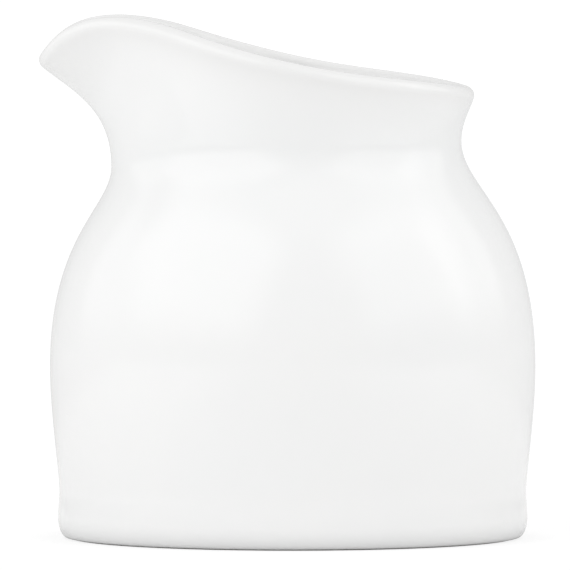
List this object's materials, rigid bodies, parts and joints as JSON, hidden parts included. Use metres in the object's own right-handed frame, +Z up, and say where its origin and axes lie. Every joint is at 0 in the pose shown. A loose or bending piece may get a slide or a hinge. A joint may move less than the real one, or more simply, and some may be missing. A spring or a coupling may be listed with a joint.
{
  "type": "cream jug",
  "caption": "Handle-less white glazed jug: round belly, narrow waist, and a rim that climbs to a drooping beak spout, on a bare foot ring.",
  "frame": {"origin": "on the standing plane, at the middle of the jug's overall length and width; the jug's own axis is 0.75 mm towards +X", "axes": "+Z up; the spout pours towards -X; the X-Z plane is the plane of symmetry"},
  "size_m": [0.0694, 0.068, 0.0731],
  "materials": {
    "glazed_porcelain": "smooth glossy clear glaze over white porcelain",
    "bare_porcelain": "unglazed, fine-grained and sanded matte"
  },
  "bodies": {
    "root": {"jug_body": "glazed_porcelain", "foot_ring": "bare_porcelain"}
  },
  "joints": []
}
